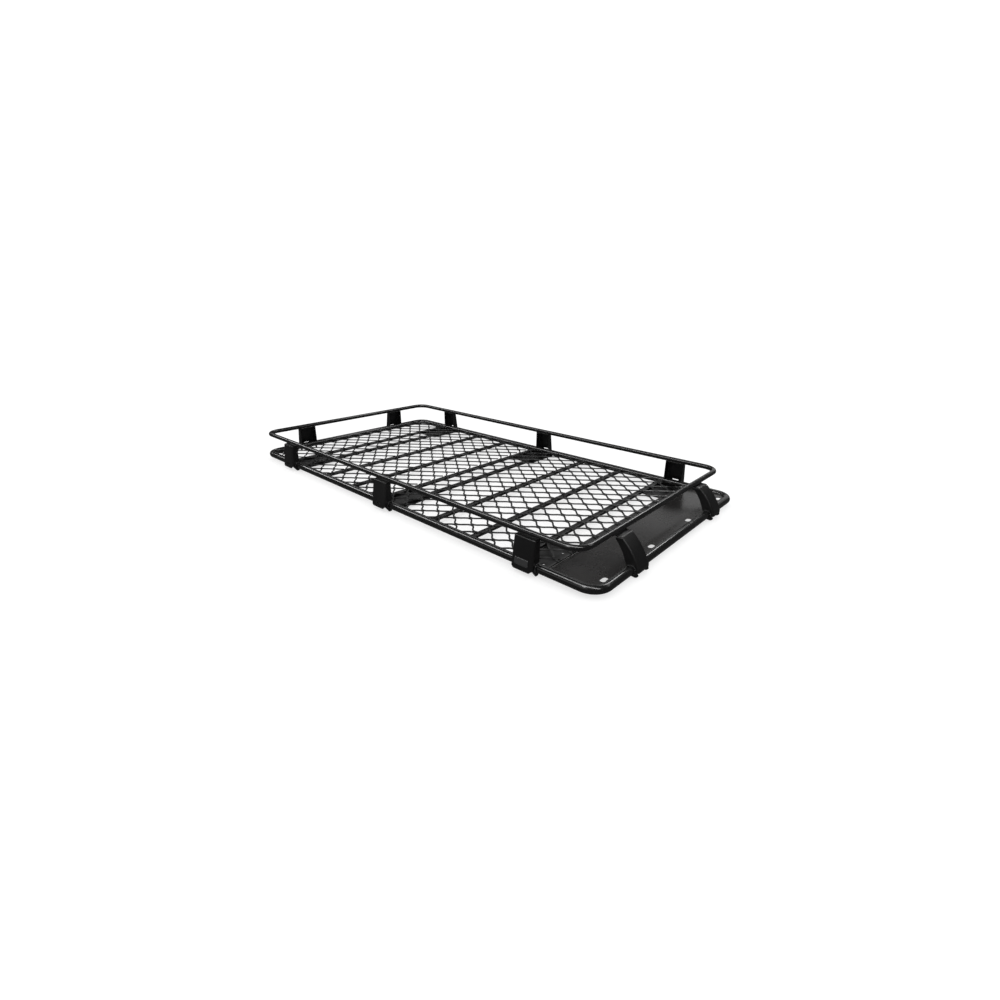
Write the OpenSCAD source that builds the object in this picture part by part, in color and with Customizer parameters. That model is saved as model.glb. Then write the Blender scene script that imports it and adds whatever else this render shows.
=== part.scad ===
// Steel roof rack: two tube hoops, folded sheet stanchions, crossbars,
// diamond mesh floor, mounting plates and a front wind deflector.
// Millimetres. +X points forward, +Y to the left, +Z up.
// The origin is at the middle of the footprint, on the floor.

/* [Lower rail] */
// Length over the lower rail
rack_len = 2200; // [1800:10:2400]
// Width over the lower rail
rack_wid = 1140; // [1000:10:1300]
// Outside diameter of the lower rail tube
low_d = 32; // [28:1:38]
// Bend radius of the lower corners, on the tube's centre line
low_bend = 61; // [50:1:90]

/* [Upper rail] */
// Height of the upper rail above the lower one, between centre lines
rail_rise = 114.5; // [90:0.5:160]
// Outside diameter of the upper rail tube
up_d = 22; // [18:1:28]
// Bend radius of the upper corners, on the tube's centre line
up_bend = 62; // [50:1:90]
// How far the upper rail stands inside the lower one at the sides
in_side = 3; // [0:1:10]
// How far the upper rail stands inside the lower one at the rear
in_rear = 8; // [0:1:15]
// How far the upper rail is set back at the front
in_front = 73; // [50:1:90]

/* [Stanchions] */
// Sheet thickness of the stanchions
sheet = 3; // [2:0.5:4]
// Width of the side stanchions
post_w = 90; // [70:1:110]
// Width of the rear stanchions
rear_w = 96; // [70:1:110]
// Outside radius of the folds along a stanchion
fold_r = 7; // [4:1:12]
// Place of the middle pair of side stanchions, from the middle of the lower rail
post_mid = 8; // [-40:1:40]
// Distance between side stanchions
post_gap = 800; // [700:5:850]
// Distance of a rear stanchion from the centre line
post_end_y = 313; // [250:1:400]
// Distance of a front stanchion from the centre line
nose_y = 317; // [250:1:400]
// Width of a front stanchion
nose_w = 74; // [60:1:100]
// Radius of the curved face of a front stanchion
nose_arc = 240; // [200:5:400]

/* [Floor] */
// Width of a crossbar
bar_w = 24; // [18:1:32]
// Height of a crossbar
bar_h = 12; // [8:1:16]
// Distance between the two crossbars of a pair
pair_gap = 116; // [100:1:130]
// Long pitch of the mesh, along the rack
mesh_px = 100.5; // [80:0.5:120]
// Short pitch of the mesh, across the rack
mesh_py = 80.5; // [60:0.5:100]
// Width of a mesh strand
strand_w = 5; // [3:0.5:8]
// Thickness of the mesh
mesh_t = 4; // [3:0.5:5]
// Shift of the mesh pattern along the rack
mesh_sx = 5.6; // [0:0.1:50]
// Shift of the mesh pattern across the rack
mesh_sy = 15.6; // [0:0.1:40]

/* [Mounting plates] */
// Length of a mounting plate, across the rack
plate_l = 190; // [150:5:220]
// Width of a mounting plate, along the rack
plate_w = 160; // [145:5:170]
// Thickness of a mounting plate
plate_t = 4; // [3:0.5:6]
// Diameter of its bolt holes
bolt_d = 11; // [9:0.5:13]
// Distance between its bolt holes, along the rack
bolt_x = 60; // [50:1:64]
// Distance between its bolt holes, across the rack
bolt_y = 110; // [80:5:120]

/* [Wind deflector] */
// Sheet thickness of the deflector
defl_t = 2; // [1.5:0.5:3]
// Length of its slots
slot_l = 34; // [20:1:40]
// Width of its slots
slot_w = 19; // [8:1:20]
// Distance of an inner slot from the centre line
slot_in = 158; // [120:1:200]
// Distance of an outer slot from the centre line
slot_out = 476; // [440:1:480]

/* [Hidden] */

$fn = 48;
e = 0.05;                              // play between a sheet and a tube
low_r = low_d / 2;
up_r = up_d / 2;
zl = 28;                               // height of the lower rail's centre line
zu = zl + rail_rise;                   // height of the upper rail's centre line
xl = rack_len / 2 - low_r;             // lower rail, half length between centre lines
yl = rack_wid / 2 - low_r;             // lower rail, half width between centre lines
foot_u = 35.3;                         // how far a stanchion's foot stands out of the rail's centre line
foot_f = 29;                           // the same for a front stanchion
x0 = (foot_u - foot_f) / 2;            // moves the origin to the middle of the footprint
ux1 = xl - in_front;                   // upper rail, front centre line
ux0 = -xl + in_rear;                   // upper rail, rear centre line
uy = yl - in_side;                     // upper rail, half width between centre lines
post_x = [post_mid - post_gap, post_mid, post_mid + post_gap];
zb = zl + 1;                           // top of the crossbars, underside of the mesh
bar_x = [for (i = [0:2], s = [-1, 1]) post_x[i] + s * pair_gap / 2];
step_r = (bar_x[2] - bar_x[1]) / 3;
step_f = (bar_x[4] - bar_x[3]) / 3;
bars = [bar_x[0], bar_x[1], bar_x[1] + step_r, bar_x[1] + 2 * step_r, bar_x[2],
        bar_x[3], bar_x[3] + step_f, bar_x[3] + 2 * step_f, bar_x[4], bar_x[5]];
mesh_y = yl - low_r - 0.4;             // half width of the mesh
mesh_x0 = -xl + low_r + 0.4;           // rear end of the mesh
mesh_x1 = bars[9] + bar_w / 2;         // front end of the mesh
cuts = [mesh_x0, bars[2], bars[4] - bar_w / 2 + 4, bars[7], mesh_x1];
black = [0.10, 0.10, 0.105];
grey = [0.17, 0.17, 0.18];

// a tube along X between two points of its centre line
module tube_x(xa, xb, y, z, r) translate([xa, y, z]) rotate([0, 90, 0]) cylinder(r = r, h = xb - xa);
module tube_y(ya, yb, x, z, r) translate([x, ya, z]) rotate([-90, 0, 0]) cylinder(r = r, h = yb - ya);
// a quarter bend whose centre line starts along +X from (cx, cy)
module bend(cx, cy, a, z, rb, r) translate([cx, cy, z]) rotate([0, 0, a]) rotate_extrude(angle = 90) translate([rb, 0]) circle(r = r);
module bends(xa, xb, y, z, rb, r) {
    bend(xb - rb, y - rb, 0, z, rb, r);
    bend(xa + rb, y - rb, 90, z, rb, r);
    bend(xa + rb, -y + rb, 180, z, rb, r);
    bend(xb - rb, -y + rb, 270, z, rb, r);
}

module lower_rail_side(s) color(black) tube_x(-xl + low_bend, xl - low_bend, s * yl, zl, low_r);
module lower_rail_end(s) color(black) tube_y(-yl + low_bend, yl - low_bend, s * xl, zl, low_r);
module lower_rail_corners() color(black) bends(-xl, xl, yl, zl, low_bend, low_r);
module upper_rail_side(s) color(black) tube_x(ux0 + up_bend, ux1 - up_bend, s * uy, zu, up_r);
module upper_rail_end(x) color(black) tube_y(-uy + up_bend, uy - up_bend, x, zu, up_r);
module upper_rail_corners() color(black) bends(ux0, ux1, uy, zu, up_bend, up_r);

// a folded channel of sheet standing along +Z: open towards -Y, outer face at y = 0
module channel(w, depth, h) translate([0, 0, -h / 2]) linear_extrude(h) channel_outline(w, depth);
module channel_outline(w, depth) difference() {
    rounded_back(w, depth, fold_r);
    translate([0, -sheet]) rounded_back(w - 2 * sheet, depth, fold_r - sheet);
}
module solid_channel(w, depth, h) translate([0, 0, -h / 2]) linear_extrude(h) rounded_back(w, depth, fold_r);
// a rectangle below y = 0 whose two corners at y = 0 are round
module rounded_back(w, depth, r) union() {
    translate([-w / 2, -depth]) square([w, depth - r]);
    translate([-w / 2 + r, -depth]) square([w - 2 * r, depth]);
    for (s = [-1, 1]) translate([s * (w / 2 - r), -r]) circle(r = r);
}

// side or rear stanchion, seen from the rail: x along the rail, y outwards
// from the lower tube's centre line, z up from it; w is its width and up_in
// how far the upper tube stands inside the lower one
module post(w, up_in) {
    top = rail_rise - up_r - e;
    head_u = 22 - up_in;               // outer face at the head
    foot_z = -12;
    lean = atan((foot_u - head_u) / (top - foot_z));
    inner = -up_in - 7;
    color(black) difference() {
        union() {
            // back and side flanges
            intersection() {
                translate([0, foot_u, foot_z]) rotate([lean, 0, 0]) channel(w, 60, 400);
                side_prism([[foot_u + 5, foot_z], [head_u + 5, top], [inner + 3, top], [inner + 3, 9],
                            [-4, -9], [-4, -zl], [10, -zl]]);
            }
            // head flange under the upper tube
            intersection() {
                translate([0, foot_u, foot_z]) rotate([lean, 0, 0]) solid_channel(w, 60, 400);
                side_prism([[head_u + 10, top - sheet], [head_u + 10, top], [inner, top], [inner, top - sheet]]);
            }
        }
        // lower tube
        rotate([0, 90, 0]) cylinder(r = low_r + e, h = 200, center = true);
        // slot near the foot
        for (x = [-13, 13]) translate([x, 50, 8]) rotate([90, 0, 0]) cylinder(r = 3, h = 40);
        translate([-13, 10, 5]) cube([26, 40, 6]);
        // round lower corners of the back
        for (s = [-1, 1]) scale([s, 1, 1]) translate([w / 2 - 14, 20, foot_z + 14]) difference() {
            translate([0, 0, -15]) cube([20, 40, 15]);
            rotate([-90, 0, 0]) translate([0, 0, -1]) cylinder(r = 14, h = 42);
        }
    }
}
// extrudes an outline given as [y, z] points along x
module side_prism(p, w = 160) translate([-w / 2, 0, 0]) rotate([90, 0, 90]) linear_extrude(w) polygon(p);

// front stanchion: a channel whose face curves back from an upright foot to
// the upper tube; x along the front tube, y outwards from it, z up from it
module front_post() {
    head = [-43, rail_rise - up_r - e]; // outer edge of the head
    knee = [foot_f, 6];                // top of the upright foot
    // centre of the arc through head and knee
    d = norm(head - knee) / 2;
    along = (knee - head) / (2 * d);
    c = (head + knee) / 2 + sqrt(nose_arc * nose_arc - d * d) * [along[1], -along[0]];
    a0 = atan2(knee[1] - c[1], knee[0] - c[0]);
    a1 = atan2(head[1] - c[1], head[0] - c[0]);
    face = arc(c, nose_arc, a1, a0, 12);
    toe = arc([foot_f - 14, -9.5], 14, 0, -90, 6);
    back = [[-2, -23.5], [-19, -10], [-19, 13], [-27, 29], [-35, 49], [-49, 71], [-66, head[1] - 12], [head[0] - 23, head[1]]];
    color(black) difference() {
        union() {
            // face and upright foot
            side_prism(concat(face, [[foot_f, -14], [foot_f - sheet, -14]], arc(c, nose_arc - sheet, a0 + 0.6, a1, 12)), nose_w);
            // side flanges
            for (s = [-1, 1]) translate([s * (nose_w - sheet) / 2, 0, 0]) side_prism(concat(face, toe, back), sheet);
            // head flange
            side_prism([[head[0], head[1]], [head[0] - 36, head[1]], [head[0] - 36, head[1] - sheet], [head[0] + 2, head[1] - sheet]], nose_w);
        }
        rotate([0, 90, 0]) cylinder(r = low_r + e, h = 200, center = true);
        // room for the edge of the deflector
        side_prism([[-60, -40], [-60, 5 + e], [-10, 5 + e], [-4, -5], [-4, -40]], 200);
    }
}
// points of an arc around c from angle a to angle b
function arc(c, r, a, b, n) = [for (i = [0:n]) let (t = a + (b - a) * i / n) c + r * [cos(t), sin(t)]];

module side_post(i, s) translate([post_x[i], s * yl, zl]) rotate([0, 0, s > 0 ? 0 : 180]) post(post_w, in_side);
module rear_post(s) translate([-xl, s * post_end_y, zl]) rotate([0, 0, 90]) post(rear_w, in_rear);
module nose_post(s) translate([xl, s * nose_y, zl]) rotate([0, 0, -90]) front_post();

module crossbar(i) color(black) difference() {
    translate([bars[i] - bar_w / 2, -yl, zb - bar_h]) cube([bar_w, 2 * yl, bar_h]);
    for (s = [-1, 1]) tube_x(bars[i] - 50, bars[i] + 50, s * yl, zl, low_r + e);
}

// mounting plate under a pair of crossbars, with four bolt holes
module mount_plate(i, s) color(black) {
    z1 = zb - bar_h;
    ym = yl - low_r - plate_l / 2 + 4;
    difference() {
        translate([post_x[i] - plate_w / 2, s > 0 ? yl - low_r - plate_l : -yl, z1 - plate_t]) cube([plate_w, plate_l + low_r, plate_t]);
        tube_x(post_x[i] - 100, post_x[i] + 100, s * yl, zl, low_r + e);
        translate([post_x[i] - 100, s > 0 ? yl - 5 : -yl - 5, 0]) cube([200, 10, 100]);
        for (a = [-1, 1], b = [-1, 1]) translate([post_x[i] + a * bolt_x / 2, s * ym + b * bolt_y / 2, 0]) cylinder(r = bolt_d / 2, h = 100);
    }
}

// mesh floor between two stations: a sheet with diamond openings
module mesh(i) {
    xa = cuts[i];
    xb = cuts[i + 1];
    k0 = floor((xa - mesh_sx) / mesh_px * 2) - 1;
    k1 = ceil((xb - mesh_sx) / mesh_px * 2) + 1;
    m = ceil(mesh_y / mesh_py) + 1;
    // half diagonals of one opening
    t = strand_w / 2 / sin(atan2(mesh_py, mesh_px));
    hx = mesh_px / 2 - t;
    hy = hx * mesh_py / mesh_px;
    color(black) translate([0, 0, zb]) linear_extrude(mesh_t) intersection() {
        floor_outline(0);
        union() {
        difference() {
            translate([xa, -mesh_y]) square([xb - xa, 2 * mesh_y]);
            for (k = [k0:k1], j = [-m:m])
                let (cx = mesh_sx + k * mesh_px / 2, cy = mesh_sy + (j + (k % 2 == 0 ? 0 : 0.5)) * mesh_py)
                if (cx > xa - hx && cx < xb + hx && abs(cy) < mesh_y + hy)
                    polygon([[cx - hx, cy], [cx, cy - hy], [cx + hx, cy], [cx, cy + hy]]);
        }
        difference() {
            translate([xa, -mesh_y]) square([xb - xa, 2 * mesh_y]);
            floor_outline(3);
        }
        translate([xa, -mesh_y]) square([3, 2 * mesh_y]);
        translate([xb - 3, -mesh_y]) square([3, 2 * mesh_y]);
        }
    }
}
// the floor seen from above, with round rear corners, inset by d
module floor_outline(d) {
    r = low_bend - low_r - 0.4;
    translate([mesh_x0 + r, -mesh_y + d]) square([mesh_x1 - mesh_x0, 2 * (mesh_y - d)]);
    translate([mesh_x0 + d, -mesh_y + r]) square([mesh_x1 - mesh_x0, 2 * (mesh_y - r)]);
    for (s = [-1, 1]) translate([mesh_x0 + r, s * (mesh_y - r)]) circle(r = r - d);
}

// front sheet between the last crossbar and the front tube, with four slots
module wind_deflector() {
    xa = mesh_x1;
    xf = xl - 48;                      // fold line
    xb = xl - low_r + 0.2;             // edge on the tube
    yb = yl - low_r - 6;
    z0 = zl - 6;
    z1 = zl + 5;
    r = 40;
    color(grey) difference() {
        intersection() {
            translate([0, yl, 0]) rotate([90, 0, 0]) linear_extrude(2 * yl)
                polygon([[xa, z0], [xf, z1], [xb + 5, z1], [xb + 5, z1 - defl_t], [xf + 1, z1 - defl_t], [xa, z0 - defl_t]]);
            linear_extrude(100) union() {
                translate([xa - 1, -yb]) square([xb - r - xa + 1, 2 * yb]);
                translate([xa - 1, -yb + r]) square([xb - xa + 1, 2 * (yb - r)]);
                for (s = [-1, 1]) translate([xb - r, s * (yb - r)]) circle(r = r);
            }
        }
        tube_y(-yl, yl, xl, zl, low_r + e);
        for (y = [-slot_out, -slot_in, slot_in, slot_out]) translate([xl - 27, y, 0]) {
            for (s = [-1, 1]) translate([0, s * (slot_l - slot_w) / 2, 0]) cylinder(r = slot_w / 2, h = 100);
            translate([-slot_w / 2, -(slot_l - slot_w) / 2, 0]) cube([slot_w, slot_l - slot_w, 100]);
        }
    }
}

translate([x0, 0, 0]) {
    lower_rail_side(1);  // lower_rail_left
    lower_rail_side(-1);  // lower_rail_right
    lower_rail_end(1);  // lower_rail_front
    lower_rail_end(-1);  // lower_rail_rear
    lower_rail_corners();
    upper_rail_side(1);  // upper_rail_left
    upper_rail_side(-1);  // upper_rail_right
    upper_rail_end(ux1);  // upper_rail_front
    upper_rail_end(ux0);  // upper_rail_rear
    upper_rail_corners();
    side_post(0, 1);  // stanchion_left_rear
    side_post(1, 1);  // stanchion_left_mid
    side_post(2, 1);  // stanchion_left_front
    side_post(0, -1);  // stanchion_right_rear
    side_post(1, -1);  // stanchion_right_mid
    side_post(2, -1);  // stanchion_right_front
    rear_post(1);  // stanchion_rear_left
    rear_post(-1);  // stanchion_rear_right
    nose_post(1);  // stanchion_front_left
    nose_post(-1);  // stanchion_front_right
    crossbar(0);  // crossbar_1
    crossbar(1);  // crossbar_2
    crossbar(2);  // crossbar_3
    crossbar(3);  // crossbar_4
    crossbar(4);  // crossbar_5
    crossbar(5);  // crossbar_6
    crossbar(6);  // crossbar_7
    crossbar(7);  // crossbar_8
    crossbar(8);  // crossbar_9
    crossbar(9);  // crossbar_10
    mount_plate(0, 1);  // mount_plate_left_rear
    mount_plate(1, 1);  // mount_plate_left_mid
    mount_plate(2, 1);  // mount_plate_left_front
    mount_plate(0, -1);  // mount_plate_right_rear
    mount_plate(1, -1);  // mount_plate_right_mid
    mount_plate(2, -1);  // mount_plate_right_front
    mesh(0);  // mesh_floor_rear
    mesh(1);  // mesh_floor_mid_rear
    mesh(2);  // mesh_floor_mid_front
    mesh(3);  // mesh_floor_front
    wind_deflector();
}
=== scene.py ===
import bpy
import bmesh
import math
import random
from mathutils import Vector, Matrix


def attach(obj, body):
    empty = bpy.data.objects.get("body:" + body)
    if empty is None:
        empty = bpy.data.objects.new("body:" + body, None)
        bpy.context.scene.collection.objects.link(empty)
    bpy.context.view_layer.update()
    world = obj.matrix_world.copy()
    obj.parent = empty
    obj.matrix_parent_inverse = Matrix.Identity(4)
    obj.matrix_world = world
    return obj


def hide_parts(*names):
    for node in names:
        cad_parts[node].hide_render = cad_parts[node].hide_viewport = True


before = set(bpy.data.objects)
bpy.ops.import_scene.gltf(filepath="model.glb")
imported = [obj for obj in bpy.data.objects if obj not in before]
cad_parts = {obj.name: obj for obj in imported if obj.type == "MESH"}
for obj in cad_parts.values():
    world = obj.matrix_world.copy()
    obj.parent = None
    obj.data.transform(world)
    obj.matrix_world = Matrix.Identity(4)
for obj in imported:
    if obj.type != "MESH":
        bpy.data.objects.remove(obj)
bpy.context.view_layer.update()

# ---------------------------------------------------------------- sizes, mm
# Measured from the middle of the lower rail's centre line: x forward, y left, z up.
X0, ZL = 3.15, 28.0
XL, YL = 1084.0, 554.0            # lower rail, half sizes between centre lines
LOW_R, LOW_B = 16.0, 61.0
UX0, UX1, UY = -1076.0, 1011.0, 551.0
UP_R, UP_B, RISE = 11.0, 62.0, 114.5
TOP = RISE - UP_R                 # underside of the upper rail
SHEET = 3.0
POST_X = (-792.0, 8.0, 808.0)
BARS = (-850.0, -734.0, -506.0, -278.0, -50.0, 66.0, 294.0, 522.0, 750.0, 866.0)


def P(x, y, z):
    return Vector(((x + X0) / 1000.0, y / 1000.0, (z + ZL) / 1000.0))


# ---------------------------------------------------------------- materials
def node(nt, kind, **inputs):
    n = nt.nodes.new(kind)
    for k, v in inputs.items():
        if k in n.inputs:
            n.inputs[k].default_value = v
    return n


def coated(name, base, rough, rough_var=0.08, peel=0.25, wear=0.5, dust=0.15, coat=0.0, grain=700.0):
    """Powder coat: faint orange peel, uneven gloss, a little dust, lighter rubbed edges."""
    m = bpy.data.materials.new(name)
    m.use_nodes = True
    nt = m.node_tree
    b = nt.nodes["Principled BSDF"]
    b.inputs["Coat Weight"].default_value = coat
    b.inputs["Coat Roughness"].default_value = 0.12
    tc = nt.nodes.new("ShaderNodeTexCoord")
    # broad unevenness
    broad = node(nt, "ShaderNodeTexNoise", Scale=5.0, Detail=4.0, Roughness=0.6)
    nt.links.new(tc.outputs["Object"], broad.inputs["Vector"])
    fine = node(nt, "ShaderNodeTexNoise", Scale=90.0, Detail=5.0, Roughness=0.7)
    nt.links.new(tc.outputs["Object"], fine.inputs["Vector"])
    # rubbed edges: where the rounded normal leaves the true one
    bev = nt.nodes.new("ShaderNodeBevel")
    bev.samples = 4
    bev.inputs["Radius"].default_value = 0.0012
    geo = nt.nodes.new("ShaderNodeNewGeometry")
    dot = nt.nodes.new("ShaderNodeVectorMath")
    dot.operation = "DOT_PRODUCT"
    nt.links.new(bev.outputs["Normal"], dot.inputs[0])
    nt.links.new(geo.outputs["Normal"], dot.inputs[1])
    edge = nt.nodes.new("ShaderNodeMapRange")
    edge.inputs["From Min"].default_value = 0.995
    edge.inputs["From Max"].default_value = 0.90
    edge.inputs["To Max"].default_value = 1.0
    nt.links.new(dot.outputs["Value"], edge.inputs["Value"])
    patch = nt.nodes.new("ShaderNodeMapRange")
    patch.inputs["From Min"].default_value = 0.45
    patch.inputs["From Max"].default_value = 0.70
    nt.links.new(fine.outputs["Fac"], patch.inputs["Value"])
    worn = nt.nodes.new("ShaderNodeMath")
    worn.operation = "MULTIPLY"
    nt.links.new(edge.outputs["Result"], worn.inputs[0])
    nt.links.new(patch.outputs["Result"], worn.inputs[1])
    amount = nt.nodes.new("ShaderNodeMath")
    amount.operation = "MULTIPLY"
    nt.links.new(worn.outputs["Value"], amount.inputs[0])
    amount.inputs[1].default_value = wear
    # colour: base, dusty patches, rubbed edges
    dusty = nt.nodes.new("ShaderNodeMapRange")
    dusty.inputs["From Min"].default_value = 0.48
    dusty.inputs["From Max"].default_value = 0.80
    dusty.inputs["To Max"].default_value = dust
    nt.links.new(broad.outputs["Fac"], dusty.inputs["Value"])
    mix1 = nt.nodes.new("ShaderNodeMix")
    mix1.data_type = "RGBA"
    mix1.inputs[6].default_value = (*base, 1)
    mix1.inputs[7].default_value = (base[0] * 2.6 + 0.006, base[1] * 2.5 + 0.006, base[2] * 2.35 + 0.005, 1)
    nt.links.new(dusty.outputs["Result"], mix1.inputs[0])
    mix2 = nt.nodes.new("ShaderNodeMix")
    mix2.data_type = "RGBA"
    mix2.inputs[7].default_value = (0.11, 0.11, 0.115, 1)
    nt.links.new(amount.outputs["Value"], mix2.inputs[0])
    nt.links.new(mix1.outputs[2], mix2.inputs[6])
    nt.links.new(mix2.outputs[2], b.inputs["Base Color"])
    # gloss
    r1 = nt.nodes.new("ShaderNodeMapRange")
    r1.inputs["From Min"].default_value = 0.3
    r1.inputs["From Max"].default_value = 0.7
    r1.inputs["To Min"].default_value = rough - rough_var
    r1.inputs["To Max"].default_value = rough + rough_var
    nt.links.new(broad.outputs["Fac"], r1.inputs["Value"])
    r2 = nt.nodes.new("ShaderNodeMath")
    r2.operation = "MULTIPLY_ADD"
    nt.links.new(fine.outputs["Fac"], r2.inputs[0])
    r2.inputs[1].default_value = 0.06
    nt.links.new(r1.outputs["Result"], r2.inputs[2])
    nt.links.new(r2.outputs["Value"], b.inputs["Roughness"])
    # orange peel
    skin = node(nt, "ShaderNodeTexNoise", Scale=grain, Detail=2.0, Roughness=0.5)
    nt.links.new(tc.outputs["Object"], skin.inputs["Vector"])
    bump = nt.nodes.new("ShaderNodeBump")
    bump.inputs["Strength"].default_value = peel
    bump.inputs["Distance"].default_value = 0.0002
    nt.links.new(skin.outputs["Fac"], bump.inputs["Height"])
    nt.links.new(bump.outputs["Normal"], b.inputs["Normal"])
    return m


BLACK = (0.0032, 0.0031, 0.0033)
MAT = {
    "rails": coated("rail_coat", BLACK, 0.22, coat=0.35),
    "stanchions": coated("stanchion_coat", (0.0036, 0.0035, 0.0037), 0.32),
    "crossbars": coated("crossbar_coat", BLACK, 0.36),
    "plates": coated("plate_coat", BLACK, 0.38),
    "mesh": coated("mesh_coat", (0.0045, 0.0045, 0.0047), 0.34, peel=0.15),
    "deflector": coated("deflector_coat", (0.0125, 0.0112, 0.0108), 0.24, rough_var=0.04, peel=0.10, coat=0.2),
}


def plain_plate_material():
    m = coated("blank_plate", (0.035, 0.035, 0.036), 0.30, peel=0.05, wear=0.4, dust=0.1)
    m.node_tree.nodes["Principled BSDF"].inputs["Metallic"].default_value = 0.3
    return m


# ---------------------------------------------------------------- mesh tools
def make(name, verts, faces, slot, angle=32.0, replaces=(), mat=None):
    me = bpy.data.meshes.new(name)
    me.from_pydata([tuple(v) for v in verts], [], faces)
    me.validate()
    bm = bmesh.new()
    bm.from_mesh(me)
    bmesh.ops.remove_doubles(bm, verts=bm.verts[:], dist=1e-6)
    bmesh.ops.dissolve_degenerate(bm, dist=1e-6, edges=bm.edges[:])
    bmesh.ops.recalc_face_normals(bm, faces=bm.faces[:])
    bm.to_mesh(me)
    bm.free()
    me.shade_smooth()
    me.set_sharp_from_angle(angle=math.radians(angle))
    me.materials.append(mat or MAT[slot])
    o = bpy.data.objects.new(name, me)
    bpy.context.scene.collection.objects.link(o)
    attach(o, "root")
    if replaces:
        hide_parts(*replaces)
    return o


def join_parts(parts):
    verts, faces = [], []
    for v, f in parts:
        n = len(verts)
        verts += list(v)
        faces += [tuple(i + n for i in q) for q in f]
    return verts, faces


def tube_along(points, tangents, rad, n=36, closed=True, up=Vector((0, 0, 1))):
    """Rings of n points around a path; rad is a number or one per point."""
    verts, faces = [], []
    for k, (p, t) in enumerate(zip(points, tangents)):
        t = t.normalized()
        s = t.cross(up)
        if s.length < 1e-6:
            s = t.cross(Vector((1, 0, 0)))
        s.normalize()
        u = s.cross(t).normalized()
        r = rad[k] if isinstance(rad, (list, tuple)) else rad
        for i in range(n):
            a = 2 * math.pi * i / n
            verts.append(p + r * (math.cos(a) * s + math.sin(a) * u))
    m = len(points)
    for k in range(m if closed else m - 1):
        for i in range(n):
            a, b = k * n + i, k * n + (i + 1) % n
            c, d = ((k + 1) % m) * n + (i + 1) % n, ((k + 1) % m) * n + i
            faces.append((a, b, c, d))
    if not closed:
        faces.append(tuple(range(n - 1, -1, -1)))
        faces.append(tuple((m - 1) * n + i for i in range(n)))
    return verts, faces


def hoop_path(xa, xb, y, z, r, step=80.0, arc=16):
    pts, tan = [], []
    corners = ((xb - r, y - r, 0), (xa + r, y - r, 90), (xa + r, -y + r, 180), (xb - r, -y + r, 270))
    for i, (cx, cy, a0) in enumerate(corners):
        for k in range(arc + 1):
            a = math.radians(a0 + 90.0 * k / arc)
            pts.append(P(cx + r * math.cos(a), cy + r * math.sin(a), z))
            tan.append(Vector((-math.sin(a), math.cos(a), 0)))
        nx, ny, na = corners[(i + 1) % 4]
        a = math.radians(a0 + 90)
        p0 = Vector((cx + r * math.cos(a), cy + r * math.sin(a)))
        p1 = Vector((nx + r * math.cos(a), ny + r * math.sin(a)))
        k = max(2, int((p1 - p0).length / step))
        for j in range(1, k):
            q = p0.lerp(p1, j / k)
            pts.append(P(q.x, q.y, z))
            tan.append(Vector((-math.sin(a), math.cos(a), 0)))
    return pts, tan


def bead(points, r=2.0, seed=1, n=8, pitch=2.6):
    """A weld bead: a small rippled tube along points (mm), with tapered ends."""
    rnd = random.Random(seed)
    # resample
    dist = [0.0]
    for a, b in zip(points, points[1:]):
        dist.append(dist[-1] + (Vector(b) - Vector(a)).length)
    total = dist[-1]
    m = max(4, int(total / (pitch / 2)))
    pts, rad = [], []
    k = 0
    for i in range(m + 1):
        d = total * i / m
        while k < len(dist) - 2 and dist[k + 1] < d:
            k += 1
        f = (d - dist[k]) / max(1e-9, dist[k + 1] - dist[k])
        q = Vector(points[k]).lerp(Vector(points[k + 1]), min(1, max(0, f)))
        end = min(1.0, 0.35 + min(i, m - i) * 0.33)
        q = q + Vector((rnd.uniform(-0.15, 0.15), rnd.uniform(-0.15, 0.15), rnd.uniform(-0.15, 0.15)))
        pts.append(P(*q))
        rad.append(r * 0.001 * end * (1.0 + (0.14 if i % 2 else -0.06) + rnd.uniform(-0.05, 0.05)))
    tan = []
    for i in range(len(pts)):
        a, b = pts[max(0, i - 1)], pts[min(len(pts) - 1, i + 1)]
        tan.append((b - a) if (b - a).length > 0 else Vector((1, 0, 0)))
    return tube_along(pts, tan, rad, n=n, closed=False)


def round_poly(pts, radii, n=5):
    """Rounds the corners of a polygon of (a, b) points; radii one per corner."""
    out = []
    m = len(pts)
    for i in range(m):
        p, a, b = Vector(pts[i]), Vector(pts[i - 1]), Vector(pts[(i + 1) % m])
        r = radii[i]
        if r <= 0:
            out.append(tuple(p))
            continue
        u, v = (a - p).normalized(), (b - p).normalized()
        half = math.acos(max(-1, min(1, u.dot(v)))) / 2
        d = min(r / math.tan(half), 0.49 * (a - p).length, 0.49 * (b - p).length)
        r = d * math.tan(half)
        c = p + (u + v).normalized() * (r / math.sin(half))
        s, e = p + u * d, p + v * d
        a0 = math.atan2(s.y - c.y, s.x - c.x)
        a1 = math.atan2(e.y - c.y, e.x - c.x)
        while a1 - a0 > math.pi:
            a1 -= 2 * math.pi
        while a1 - a0 < -math.pi:
            a1 += 2 * math.pi
        for k in range(n + 1):
            t = a0 + (a1 - a0) * k / n
            out.append((c.x + r * math.cos(t), c.y + r * math.sin(t)))
    return out


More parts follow.
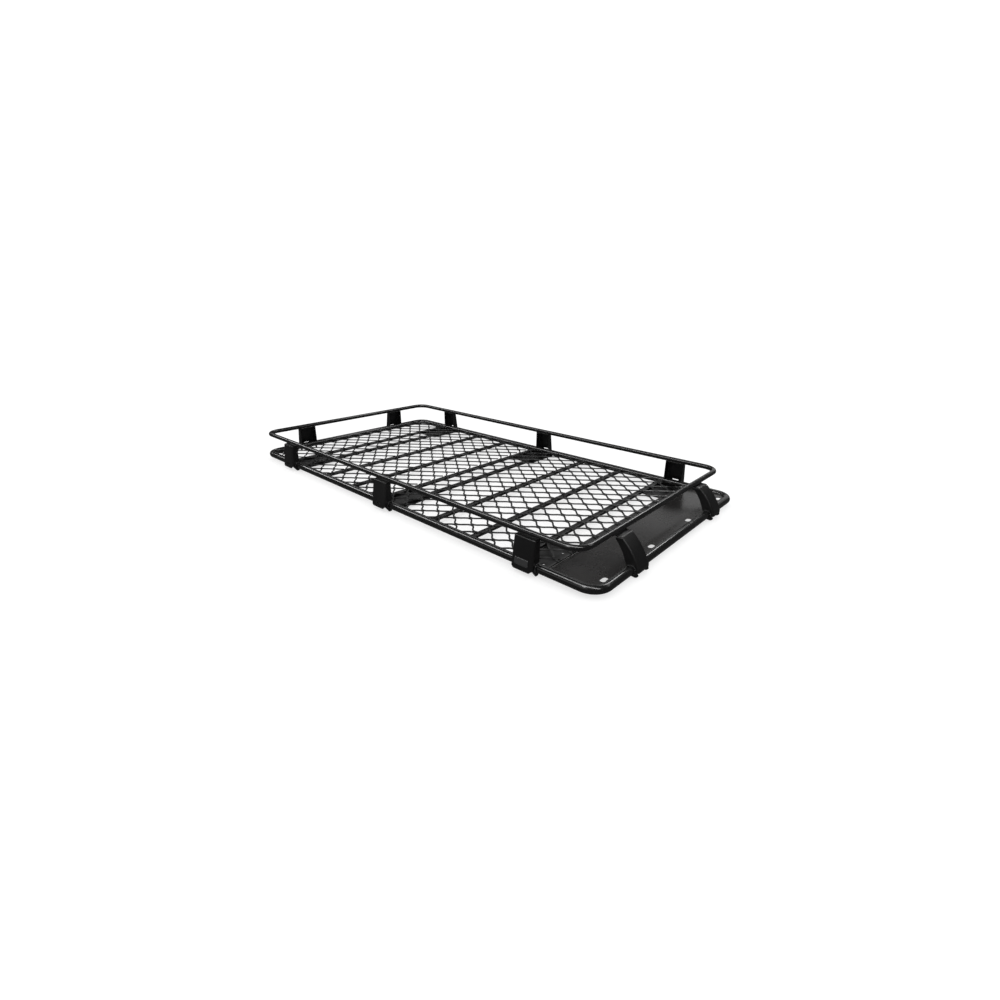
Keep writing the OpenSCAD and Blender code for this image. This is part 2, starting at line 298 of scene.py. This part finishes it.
def flat_pattern(outer, holes, cuts):
    """Fills a 2D outline with holes, then splits it along lines; returns verts, faces."""
    bm = bmesh.new()
    edges = []
    for loop in [outer] + list(holes):
        vs = [bm.verts.new((a, b, 0)) for a, b in loop]
        for i in range(len(vs)):
            edges.append(bm.edges.new((vs[i], vs[(i + 1) % len(vs)])))
    bmesh.ops.triangle_fill(bm, use_beauty=True, use_dissolve=False, edges=edges, normal=(0, 0, 1))
    for axis, val in cuts:
        co = (val, 0, 0) if axis == 0 else (0, val, 0)
        no = (1, 0, 0) if axis == 0 else (0, 1, 0)
        bmesh.ops.bisect_plane(bm, geom=bm.verts[:] + bm.edges[:] + bm.faces[:], dist=1e-5, plane_co=co, plane_no=no)
    bmesh.ops.remove_doubles(bm, verts=bm.verts[:], dist=1e-4)
    bmesh.ops.recalc_face_normals(bm, faces=bm.faces[:])
    bm.verts.ensure_lookup_table()
    bm.verts.index_update()
    vs = [(v.co.x, v.co.y) for v in bm.verts]
    fs = []
    for f in bm.faces:
        q = [v.index for v in f.verts]
        if f.normal.z < 0:
            q.reverse()
        fs.append(tuple(q))
    bm.free()
    return vs, fs


def shell(vs, fs, fmap, thick):
    """Maps a flat pattern through fmap(a, b, depth) at depth 0 and thick, and closes the rim."""
    n = len(vs)
    verts = [fmap(a, b, 0.0) for a, b in vs] + [fmap(a, b, thick) for a, b in vs]
    faces = [tuple(f) for f in fs] + [tuple(i + n for i in reversed(f)) for f in fs]
    count = {}
    for f in fs:
        for i in range(len(f)):
            e = (f[i], f[(i + 1) % len(f)])
            k = (min(e), max(e))
            count.setdefault(k, []).append(e)
    for k, es in count.items():
        if len(es) == 1:
            a, b = es[0]
            faces.append((b, a, a + n, b + n))
    return verts, faces


def mirror_y(verts):
    return [Vector((v.x, -v.y, v.z)) for v in verts]


# ---------------------------------------------------------------- rails
path, tan = hoop_path(-XL, XL, YL, 0.0, LOW_B)
v, f = tube_along(path, tan, LOW_R / 1000, n=44)
make("lower_hoop", v, f, "rails", replaces=["lower_rail_left", "lower_rail_right", "lower_rail_front",
                                            "lower_rail_rear", "lower_rail_corners"])
path, tan = hoop_path(UX0, UX1, UY, RISE, UP_B)
v, f = tube_along(path, tan, UP_R / 1000, n=36)
make("upper_hoop", v, f, "rails", replaces=["upper_rail_left", "upper_rail_right", "upper_rail_front",
                                            "upper_rail_rear", "upper_rail_corners"])


# ---------------------------------------------------------------- stanchions
def post_parts(w, up_in):
    """A side or rear stanchion in its own frame: x along the rail, u outwards, z up (mm)."""
    foot_u, foot_z = 35.3, -12.0
    head_u = 22.0 - up_in
    r = 7.0
    lam = math.atan((foot_u - head_u) / (TOP - foot_z))
    d = Vector((-math.sin(lam), math.cos(lam)))
    n = Vector((-math.cos(lam), -math.sin(lam)))
    p0 = Vector((foot_u, foot_z))
    a = w / 2 - r
    arc = math.pi * r / 2
    top = TOP - SHEET + 0.1

    def st(u, z):
        q = Vector((u, z)) - p0
        return (a + arc + (q.dot(n) - r), q.dot(d))

    def face_t(z):
        return (z - foot_z) / math.cos(lam)

    inner = -up_in - 4.0
    right = [(a - 5, 0.0), (a + 4.5, 8.0), (a + arc - 0.5, 9.5)]
    right += [st(26.5, -6.5), st(10, -27.9), st(-4, -27.9), st(-4, -9), st(inner, 9), st(inner, top)]
    # top edge on the fold follows the level z = top
    t_top = face_t(top)
    right += [(a + arc, t_top + r * math.sin(lam) / math.cos(lam)), (a, t_top)]
    radii = [5, 5, 2, 5, 3.5, 3.5, 0, 2, 0, 0, 0]
    left = [(-s, t) for s, t in reversed(right)]
    outer = round_poly(right + left, radii + radii[::-1], n=5)
    # the slot near the foot
    slot = []
    tz = face_t(8.0)
    for k in range(17):
        t = -math.pi / 2 + math.pi * k / 16
        slot.append((13 + 3 * math.cos(t), tz + 3 * math.sin(t)))
    slot += [(-s, 2 * tz - t) for s, t in slot]
    cuts = [(0, sg * (a + arc * k / 6)) for sg in (-1, 1) for k in range(7)]
    cuts += [(0, sg * (a - 1)) for sg in (-1, 1)] + [(0, sg * (a + arc + 1)) for sg in (-1, 1)]
    vs, fs = flat_pattern(outer, [slot], cuts)

    def fmap(s, t, depth):
        sg = 1 if s >= 0 else -1
        q = abs(s)
        if q <= a:
            x, dep, nx, nq = s, 0.0, 0.0, 1.0
        elif q <= a + arc:
            ph = (q - a) / r
            x, dep = sg * (a + r * math.sin(ph)), r * (1 - math.cos(ph))
            nx, nq = -sg * math.sin(ph), math.cos(ph)
        else:
            x, dep = sg * w / 2, r + (q - a - arc)
            nx, nq = -sg * 1.0, 0.0
        x += nx * depth
        dep += nq * depth
        pt = p0 + d * t + n * dep
        return Vector((x, pt.x, pt.y))

    body = shell(vs, fs, fmap, SHEET)
    # cap under the upper tube, with a rounded outer edge
    cap = []
    uh = head_u
    rows = []
    for z, inset in ((TOP - SHEET, 0.0), (TOP - 1.6, 0.1), (TOP - 0.6, 0.7), (TOP + 0.02, 1.9)):
        ue = head_u + (TOP - z) * math.tan(lam) - inset
        poly = round_poly([(-w / 2 + inset, inner), (w / 2 - inset, inner), (w / 2 - inset, ue), (-w / 2 + inset, ue)],
                          [0, 0, r - inset * 0.5, r - inset * 0.5], n=6)
        rows.append([Vector((x, u, z)) for x, u in poly])
    m = len(rows[0])
    cv = [p for row in rows for p in row]
    cf = []
    for k in range(len(rows) - 1):
        for i in range(m):
            cf.append((k * m + i, k * m + (i + 1) % m, (k + 1) * m + (i + 1) % m, (k + 1) * m + i))
    cf.append(tuple(range(m - 1, -1, -1)))
    cf.append(tuple((len(rows) - 1) * m + i for i in range(m)))
    return [body, (cv, cf)]


def place(parts, cx, cy, out):
    """Puts stanchion parts on a rail at (cx, cy); out is the outward direction in plan."""
    along = Vector((-out[1], out[0]))
    res = []
    for vs, fs in parts:
        res.append(([P(cx + along[0] * v.x + out[0] * v.y, cy + along[1] * v.x + out[1] * v.y, v.z) for v in vs], fs))
    return res


def post_beads(w, up_in, cx, cy, out, seed):
    along = Vector((-out[1], out[0]))

    def W(x, u, z):
        return (cx + along[0] * x + out[0] * u, cy + along[1] * x + out[1] * u, z)

    parts = []
    for k, s in enumerate((-1, 1)):
        x = s * (w / 2 + 0.3)
        pts = [W(x, 16.2 * math.cos(t), 16.2 * math.sin(t)) for t in [math.radians(118 - 11.5 * i) for i in range(15)]]
        parts.append(bead(pts, 2.3, seed * 7 + k))
    # between the cap and the upper tube, both sides
    uc = -up_in
    for k, s in enumerate((-1, 1)):
        u = uc + s * 6.4
        z = TOP + 1.6
        parts.append(bead([W(-w / 2 + 3, u, z), W(w / 2 - 3, u, z)], 2.3, seed * 7 + 3 + k))
    return parts


def side_stanchion(name, i, s, replaces):
    parts = place(post_parts(90.0, 3.0), POST_X[i], s * YL, (0, s))
    parts += post_beads(90.0, 3.0, POST_X[i], s * YL, (0, s), 11 + i + (5 if s > 0 else 0))
    v, f = join_parts(parts)
    make(name, v, f, "stanchions", replaces=replaces)


for i, pos in enumerate(("rear", "mid", "front")):
    for s, sn in ((1, "left"), (-1, "right")):
        side_stanchion("post_%s_%s" % (sn, pos), i, s, ["stanchion_%s_%s" % (sn, pos)])
for s, sn in ((1, "left"), (-1, "right")):
    parts = place(post_parts(96.0, 8.0), -XL, s * 313.0, (-1, 0))
    parts += post_beads(96.0, 8.0, -XL, s * 313.0, (-1, 0), 31 + s)
    v, f = join_parts(parts)
    make("post_rear_" + sn, v, f, "stanchions", replaces=["stanchion_rear_" + sn])


def nose_profile():
    """Outer face of a front stanchion in (u, z), from the foot up: points and inward normals."""
    R = 240.0
    head, knee = Vector((-43.0, TOP)), Vector((29.0, 6.0))
    dd = (head - knee).length / 2
    al = (knee - head) / (2 * dd)
    c = (head + knee) / 2 + math.sqrt(R * R - dd * dd) * Vector((al.y, -al.x))
    a0 = math.atan2(knee.y - c.y, knee.x - c.x)
    a1 = math.atan2(head.y - c.y, head.x - c.x)
    pts, nor = [], []
    # upright foot, then a small bend of radius rb, then the long arc
    bend = a0
    rb = 12.0
    back = rb * math.tan(bend / 2)
    for z in (-6.0, -2.0):
        pts.append(Vector((29.0, z)))
        nor.append(Vector((-1.0, 0.0)))
    cb = Vector((29.0 - rb, 6.0 - back))
    for k in range(7):
        t = bend * k / 6
        pts.append(cb + rb * Vector((math.cos(t), math.sin(t))))
        nor.append(-Vector((math.cos(t), math.sin(t))))
    k0 = a0 + back / R
    n = 26
    for k in range(1, n + 1):
        t = k0 + (a1 - k0) * k / n
        pts.append(c + R * Vector((math.cos(t), math.sin(t))))
        nor.append(-Vector((math.cos(t), math.sin(t))))
    return pts, nor


def nose_parts(w=74.0):
    r = 6.0
    pts, nor = nose_profile()
    # stop just under the cap
    keep = [i for i, p in enumerate(pts) if p.y < TOP - 1.2]
    pts, nor = [pts[i] for i in keep], [nor[i] for i in keep]
    a = w / 2 - r
    sec = []
    for k in range(7):
        ph = math.pi / 2 * (1 - k / 6)
        sec.append((-(a + r * math.sin(ph)), r * (1 - math.cos(ph)), math.sin(ph), math.cos(ph)))
    sec.append((-(a - 1), 0, 0, 1))
    sec.append(((a - 1), 0, 0, 1))
    for k in range(7):
        ph = math.pi / 2 * k / 6
        sec.append(((a + r * math.sin(ph)), r * (1 - math.cos(ph)), -math.sin(ph), math.cos(ph)))
    # outer and inner surfaces of face and folds
    m, n = len(sec), len(pts)
    outer, inner = [], []
    for p, nn in zip(pts, nor):
        for x, q, nx, nq in sec:
            o = p + nn * q
            outer.append(Vector((x, o.x, o.y)))
            i2 = p + nn * (q + nq * SHEET)
            inner.append(Vector((x + nx * SHEET, i2.x, i2.y)))
    verts = outer + inner
    off = len(outer)
    faces = []
    for j in range(n - 1):
        for i in range(m - 1):
            q = (j * m + i, j * m + i + 1, (j + 1) * m + i + 1, (j + 1) * m + i)
            faces.append(q)
            faces.append(tuple(k + off for k in reversed(q)))
    for i in range(m - 1):
        faces.append((i + 1, i, i + off, i + 1 + off))
        t = (n - 1) * m
        faces.append((t + i, t + i + 1, t + i + 1 + off, t + i + off))
    for j in range(n - 1):
        b, c = j * m, (j + 1) * m
        faces.append((b, c, c + off, b + off))
        b, c = b + m - 1, c + m - 1
        faces.append((c, b, b + off, c + off))
    # flange outline: front edge is the band's edge, then round the back
    edge = [p + nn * (r - 0.15) for p, nn in zip(pts, nor)]
    zt = edge[-1].y
    back = [(-66.0, zt), (-66.0, 92.0), (-49.0, 71.0), (-35.5, 50.0), (-27.0, 30.0), (-19.0, 12.0), (-13.0, 4.0), (-2.0, -21.5)]
    toe = [(-2.0, -21.5)]
    tc = Vector((edge[0].x + r - 14.0, -9.5))
    for k in range(7):
        t = math.radians(-90 + 90 * k / 6)
        toe.append((tc.x + 14 * math.cos(t), tc.y + 14 * math.sin(t)))
    # the round toe meets the fold at the foot
    toe = [q for q in toe if q[0] < edge[0].x - 0.01 or q[1] < -12]
    outline = [(p.x, p.y) for p in edge] + back + toe[1:]
    vs, fs = flat_pattern(outline, [], [(0, edge[0].x - 1.0)])
    flanges = []
    for s in (-1, 1):
        def fmap(u, z, depth, s=s):
            return Vector((s * (w / 2 - depth), u, z))
        fv, ff = shell(vs, fs, fmap, SHEET)
        flanges.append((fv, ff))
    # cap
    rows = []
    for z, inset in ((TOP - SHEET, 0.0), (TOP - 1.6, 0.1), (TOP - 0.6, 0.7), (TOP + 0.02, 1.9)):
        ue = -43.0 + (TOP - z) * 0.86 - inset * 1.4
        poly = round_poly([(-w / 2 + inset, -80), (w / 2 - inset, -80), (w / 2 - inset, ue), (-w / 2 + inset, ue)],
                          [0, 0, r - inset * 0.5, r - inset * 0.5], n=6)
        rows.append([Vector((x, u, z)) for x, u in poly])
    mm = len(rows[0])
    cv = [p for row in rows for p in row]
    cf = []
    for k in range(len(rows) - 1):
        for i in range(mm):
            cf.append((k * mm + i, k * mm + (i + 1) % mm, (k + 1) * mm + (i + 1) % mm, (k + 1) * mm + i))
    cf.append(tuple(range(mm - 1, -1, -1)))
    cf.append(tuple((len(rows) - 1) * mm + i for i in range(mm)))
    return [(verts, faces)] + flanges + [(cv, cf)]


for s, sn in ((1, "left"), (-1, "right")):
    parts = place(nose_parts(), XL, s * 317.0, (1, 0))
    along = Vector((0, 1))
    bs = []
    for k, e in enumerate((-1, 1)):
        y = s * 317.0 + e * 37.3
        bs.append(bead([(XL + 16.2 * math.cos(t), y, 16.2 * math.sin(t)) for t in [math.radians(150 - 13 * i) for i in range(17)]],
                       2.2, 41 + k + 2 * s))
    for k, du in enumerate((-6.4, 6.4)):
        bs.append(bead([(UX1 + du, s * 317.0 - 34, TOP + 1.6), (UX1 + du, s * 317.0 + 34, TOP + 1.6)], 2.3, 51 + k + 2 * s))
    v, f = join_parts(parts + bs)
    make("post_front_" + sn, v, f, "stanchions", replaces=["stanchion_front_" + sn])


# ---------------------------------------------------------------- crossbars
def bar_mesh(x, half=YL, z0=-11.0, z1=1.0, w=24.0, r=2.5):
    prof = round_poly([(-w / 2, z0), (w / 2, z0), (w / 2, z1), (-w / 2, z1)], [r] * 4, n=4)
    ys = [-half, -half + 40, -200, 0, 200, half - 40, half]
    verts, faces = [], []
    m = len(prof)
    for y in ys:
        for a, z in prof:
            verts.append(P(x + a, y, z))
    for k in range(len(ys) - 1):
        for i in range(m):
            faces.append((k * m + i, k * m + (i + 1) % m, (k + 1) * m + (i + 1) % m, (k + 1) * m + i))
    faces.append(tuple(range(m - 1, -1, -1)))
    faces.append(tuple((len(ys) - 1) * m + i for i in range(m)))
    return verts, faces


for i, x in enumerate(BARS):
    parts = [bar_mesh(x)]
    for s in (-1, 1):
        parts.append(bead([(x - 11, s * 537.8, 1.6), (x + 11, s * 537.8, 1.6)], 2.0, 100 + i * 2 + s))
        for e in (-1, 1):
            parts.append(bead([(x + e * 12.3, s * 538.2, 0.5), (x + e * 12.3, s * 539.5, -9)], 1.7, 130 + i * 4 + s + 2 * e))
    v, f = join_parts(parts)
    make("bar_%d" % (i + 1), v, f, "crossbars", replaces=["crossbar_%d" % (i + 1)])


# ---------------------------------------------------------------- mounting plates
def bolt_circle(cx, cy, r, n=20):
    return [(cx + r * math.cos(-2 * math.pi * k / n), cy + r * math.sin(-2 * math.pi * k / n)) for k in range(n)]


for i, pos in enumerate(("rear", "mid", "front")):
    for s, sn in ((1, "left"), (-1, "right")):
        x = POST_X[i]
        ya, yb = (348.0, 545.0) if s > 0 else (-545.0, -348.0)
        ym = s * (YL - LOW_R - 95.0 + 4.0)
        outer = round_poly([(x - 80, ya), (x + 80, ya), (x + 80, yb), (x - 80, yb)], [6] * 4, n=4)
        holes = [bolt_circle(x + a * 30, ym + b * 55, 5.5) for a in (-1, 1) for b in (-1, 1)]
        vs, fs = flat_pattern(outer, holes, [])
        v, f = shell(vs, fs, lambda a, b, dep: P(a, b, -11.0 - dep), 4.0)
        bs = []
        for k, e in enumerate((-1, 1)):
            for j, yy in enumerate((0.25, 0.72)):
                y0 = ya + (yb - ya) * yy
                bs.append(bead([(x + e * 58 - 12.4, y0 - 12, -10.4), (x + e * 58 - 12.4, y0 + 12, -10.4)], 1.8, 200 + i * 9 + k * 3 + j))
                bs.append(bead([(x + e * 58 + 12.4, y0 - 12, -10.4), (x + e * 58 + 12.4, y0 + 12, -10.4)], 1.8, 230 + i * 9 + k * 3 + j))
        v, f = join_parts([(v, f)] + bs)
        make("plate_%s_%s" % (sn, pos), v, f, "plates", replaces=["mount_plate_%s_%s" % (sn, pos)])


# ---------------------------------------------------------------- expanded mesh floor
MX, MY = 50.2, 40.2               # half pitches
CX, CY = 5.6, -24.6               # a bond
BOND = 13.0                       # length of a bond along the rack
SW, ST = 7.0, 3.4                 # strand width and thickness
TILT = math.radians(16.0)
MZ = 4.0
MESH_X1 = 877.0


def inside(x, y):
    """True within the lower rail's centre line."""
    ax, ay = abs(x), abs(y)
    if ax > XL or ay > YL:
        return False
    dx, dy = ax - (XL - LOW_B), ay - (YL - LOW_B)
    if dx > 0 and dy > 0:
        return dx * dx + dy * dy < LOW_B * LOW_B
    return True


def smooth(t):
    return t * t * (3 - 2 * t)


def strip(j, xa, xb):
    """The zigzag strand between bond rows j and j + 1, from xa to xb: list of (verts, faces)."""
    y0, y1 = CY + MY * j, CY + MY * (j + 1)
    half = SW / 2
    k0 = int(math.floor((xa - CX) / MX)) - 1
    k1 = int(math.ceil((xb - CX) / MX)) + 1
    line = []
    for k in range(k0, k1 + 1):
        low = (k + j) % 2 == 0
        x = CX + MX * k
        lap = half - 0.12
        y = y0 + lap * math.cos(TILT) if low else y1 - lap * math.cos(TILT)
        z = MZ + (lap if low else -lap) * math.sin(TILT)
        line.append((x, y, z))
    pts = []
    for (ax, ay, az), (bx, by, bz) in zip(line, line[1:]):
        # bond, strand, bond
        s0, s1 = ax + BOND / 2, bx - BOND / 2
        pts.append((ax, ay, az))
        n = 7
        for i in range(n + 1):
            t = i / n
            # straight run with softened ends
            g = t - 0.06 * math.sin(2 * math.pi * t)
            pts.append((s0 + (s1 - s0) * t, ay + (by - ay) * g, az + (bz - az) * smooth(t)))
    # cut to length
    pts = [p for p in pts if xa - 1e-6 <= p[0] <= xb + 1e-6]
    runs, cur = [], []
    for p in pts:
        if inside(p[0], p[1]):
            cur.append(p)
        else:
            if len(cur) > 2:
                runs.append(cur)
            cur = []
    if len(cur) > 2:
        runs.append(cur)
    res = []
    ch = 0.55
    for run in runs:
        verts, faces = [], []
        for i, p in enumerate(run):
            a, b = run[max(0, i - 1)], run[min(len(run) - 1, i + 1)]
            t = Vector((b[0] - a[0], b[1] - a[1], 0)).normalized()
            side = Vector((-t.y, t.x, 0))
            S = side * math.cos(TILT) + Vector((0, 0, math.sin(TILT)))
            N = -side * math.sin(TILT) + Vector((0, 0, math.cos(TILT)))
            h, g = SW / 2, ST / 2
            for su, nn in ((-h, -g + ch), (-h, g - ch), (-h + ch, g), (h - ch, g), (h, g - ch), (h, -g + ch), (h - ch, -g), (-h + ch, -g)):
                q = Vector(p) + S * su + N * nn
                verts.append(P(q.x, q.y, q.z))
        m = 8
        for k in range(len(run) - 1):
            for i in range(m):
                faces.append((k * m + (i + 1) % m, k * m + i, (k + 1) * m + i, (k + 1) * m + (i + 1) % m))
        faces.append(tuple(range(m)))
        faces.append(tuple((len(run) - 1) * m + i for i in range(m - 1, -1, -1)))
        res.append((verts, faces))
    return res


cuts = [-XL, BARS[2], BARS[4] - 8.0, BARS[7], MESH_X1]
names = ["mesh_floor_rear", "mesh_floor_mid_rear", "mesh_floor_mid_front", "mesh_floor_front"]
for q in range(4):
    xa, xb = cuts[q], cuts[q + 1]
    parts = []
    for j in range(-14, 15):
        ylo, yhi = CY + MY * j, CY + MY * (j + 1)
        if yhi > 568 or ylo < -568:
            continue
        parts += strip(j, xa, xb)
    v, f = join_parts(parts)
    make("floor_mesh_%d" % (q + 1), v, f, "mesh", angle=40, replaces=[names[q]])


# ---------------------------------------------------------------- wind deflector
def deflector():
    xa, xf, xb = MESH_X1 + 1.0, XL - 48.0, XL - LOW_R + 3.0
    yb = YL - LOW_R - 6.0
    z0, z1 = -6.0, 5.0
    r = 40.0
    outer = round_poly([(xa, -yb), (xb, -yb), (xb, yb), (xa, yb)], [4, r, r, 4], n=10)
    slots = []
    for c in (-476, -158, 158, 476):
        w, l = 9.5, 7.5
        ring = []
        for k in range(13):
            t = -math.pi * k / 12
            ring.append((XL - 27 + w * math.cos(t), c - l + w * math.sin(t)))
        for k in range(13):
            t = math.pi - math.pi * k / 12
            ring.append((XL - 27 + w * math.cos(t), c + l + w * math.sin(t)))
        slots.append(ring)
    lines = [(0, xf - 6 + 2 * k) for k in range(7)] + [(0, xf - 7), (0, xf + 7)] + [(1, y) for y in range(-480, 500, 80)]
    vs, fs = flat_pattern(outer, slots, lines)

    def height(x):
        # a soft fold at xf
        s = (z1 - z0) / (xf - xa)
        if x <= xf - 6:
            return z0 + s * (x - xa)
        if x >= xf + 6:
            return z1 - s * 0
        t = (x - (xf - 6)) / 12
        za = z0 + s * (xf - 6 - xa)
        return za + s * 12 * (t - t * t / 2) + (z1 - (za + s * 6)) * smooth(t)

    return shell(vs, fs, lambda a, b, dep: P(a, b, height(a) - dep), 2.0)


v, f = deflector()
parts = [(v, f)]
hem = [P(MESH_X1 + 1.2, y, -6.2) for y in range(-530, 531, 53)]
parts.append(tube_along(hem, [Vector((0, 1, 0))] * len(hem), 0.0022, n=14, closed=False))
for k, y in enumerate((-470, -380, -210, -90, 90, 210, 380, 470)):
    parts.append(bead([(XL - 15.4, y - 14, 6.0), (XL - 15.4, y + 14, 6.0)], 2.0, 300 + k))
v, f = join_parts(parts)
make("deflector_sheet", v, f, "deflector", replaces=["wind_deflector"])


# ---------------------------------------------------------------- small blank plate
def small_plate(cx, w, h, zc, name):
    foot_u, head_u = 35.3, 19.0
    lam = math.atan((foot_u - head_u) / (TOP + 12.0))
    d = Vector((-math.sin(lam), math.cos(lam)))
    n = Vector((-math.cos(lam), -math.sin(lam)))
    rows = []
    base = Vector((foot_u, -12.0)) + d * ((zc + 12.0) / math.cos(lam))
    for dep, inset in ((0.3, 0.0), (-1.2, 0.0), (-1.8, 0.6)):
        poly = round_poly([(-w / 2 + inset, -h / 2 + inset), (w / 2 - inset, -h / 2 + inset),
                           (w / 2 - inset, h / 2 - inset), (-w / 2 + inset, h / 2 - inset)], [4 - inset] * 4, n=5)
        row = []
        for a, b in poly:
            q = base + d * b + n * dep
            row.append(P(cx - a, -(YL + q.x), q.y))
        rows.append(row)
    m = len(rows[0])
    verts = [p for row in rows for p in row]
    faces = []
    for k in range(len(rows) - 1):
        for i in range(m):
            faces.append((k * m + i, k * m + (i + 1) % m, (k + 1) * m + (i + 1) % m, (k + 1) * m + i))
    faces.append(tuple(range(m - 1, -1, -1)))
    faces.append(tuple((len(rows) - 1) * m + i for i in range(m)))
    make(name, verts, faces, None, mat=PLATE)


PLATE = plain_plate_material()
small_plate(POST_X[2] - 2.0, 58.0, 24.0, 18.0, "blank_plate_front")


# ---------------------------------------------------------------- floor, light, camera
me = bpy.data.meshes.new("ground")
S = 40.0
me.from_pydata([(-S, -S, 0), (S, -S, 0), (S, S, 0), (-S, S, 0)], [], [(0, 1, 2, 3)])
ground = bpy.data.objects.new("ground", me)
bpy.context.scene.collection.objects.link(ground)
gm = bpy.data.materials.new("ground")
gm.use_nodes = True
gb = gm.node_tree.nodes["Principled BSDF"]
gb.inputs["Base Color"].default_value = (0.42, 0.42, 0.42, 1)
gb.inputs["Roughness"].default_value = 0.9
gb.inputs["Specular IOR Level"].default_value = 0.0
# a lit table: the floor glows a little, so the openings stay pale
gb.inputs["Emission Color"].default_value = (1, 1, 1, 1)
gb.inputs["Emission Strength"].default_value = 0.66
ground.visible_glossy = False
me.materials.append(gm)

world = bpy.data.worlds.new("studio")
bpy.context.scene.world = world
world.use_nodes = True
wt = world.node_tree
sky = wt.nodes["Background"]
sky.inputs["Color"].default_value = (1, 1, 1, 1)
sky.inputs["Strength"].default_value = 1.1
# black flags round the set: polished surfaces see a dark studio with strip lights
flag = wt.nodes.new("ShaderNodeBackground")
flag.inputs["Color"].default_value = (1, 1, 1, 1)
flag.inputs["Strength"].default_value = 0.07
kind = wt.nodes.new("ShaderNodeLightPath")
both = wt.nodes.new("ShaderNodeMixShader")
wt.links.new(kind.outputs["Is Glossy Ray"], both.inputs[0])
wt.links.new(sky.outputs[0], both.inputs[1])
wt.links.new(flag.outputs[0], both.inputs[2])
wt.links.new(both.outputs[0], wt.nodes["World Output"].inputs["Surface"])


def strip_light(name, loc, along, down, length, width, radiance):
    """A rectangular light seen only in reflections: long side along a direction, facing down."""
    li = bpy.data.lights.new(name, "AREA")
    li.shape = "RECTANGLE"
    li.size, li.size_y = length, width
    li.energy = radiance * math.pi * length * width
    o = bpy.data.objects.new(name, li)
    z = -Vector(down).normalized()
    x = Vector(along).normalized()
    y = z.cross(x).normalized()
    o.matrix_world = Matrix.Translation(Vector(loc)) @ Matrix((x, y, z)).transposed().to_4x4()
    o.visible_diffuse = False
    o.visible_camera = False
    bpy.context.scene.collection.objects.link(o)
    return o


for side in (-1, 1):
    strip_light("strip_long_%d" % (side + 1), (-0.6, side * 1.35, 2.1), (1, 0, 0), (0, -side * 0.4, -1), 9.0, 0.42, 10.0 if side < 0 else 2.0)
    strip_light("strip_cross_%d" % (side + 1), (0.65, side * 2.2, 2.1), (0, 1, 0), (0, -side * 0.4, -1), 1.6, 0.5, 8.0)
    strip_light("panel_%d" % (side + 1), (-0.3, side * 3.5, 1.0), (1, 0, 0), (0, -side, 0), 4.0, 1.0, 0.5)

cam_data = bpy.data.cameras.new("camera")
cam = bpy.data.objects.new("camera", cam_data)
bpy.context.scene.collection.objects.link(cam)
right = Vector((0.74541, 0.66652, 0.01081))
up = Vector((-0.24826, 0.26252, 0.93244))
back = Vector((0.61865, -0.69774, 0.36115))
rot = Matrix((right, up, back)).transposed()
cam.matrix_world = Matrix.Translation(P(1754.44, -1730.98, 829.80)) @ rot.to_4x4()
cam_data.sensor_fit = "HORIZONTAL"
cam_data.sensor_width = 36.0
cam_data.lens = 36.0 * 0.50948
cam_data.shift_x = -0.00639
cam_data.shift_y = -0.00501
cam_data.clip_start = 0.05
cam_data.clip_end = 200
cam_data.dof.use_dof = False
bpy.context.scene.camera = cam

vs_ = bpy.context.scene.view_settings
vs_.view_transform = "Standard"
vs_.look = "None"
vs_.exposure = 0.0
vs_.gamma = 1.0
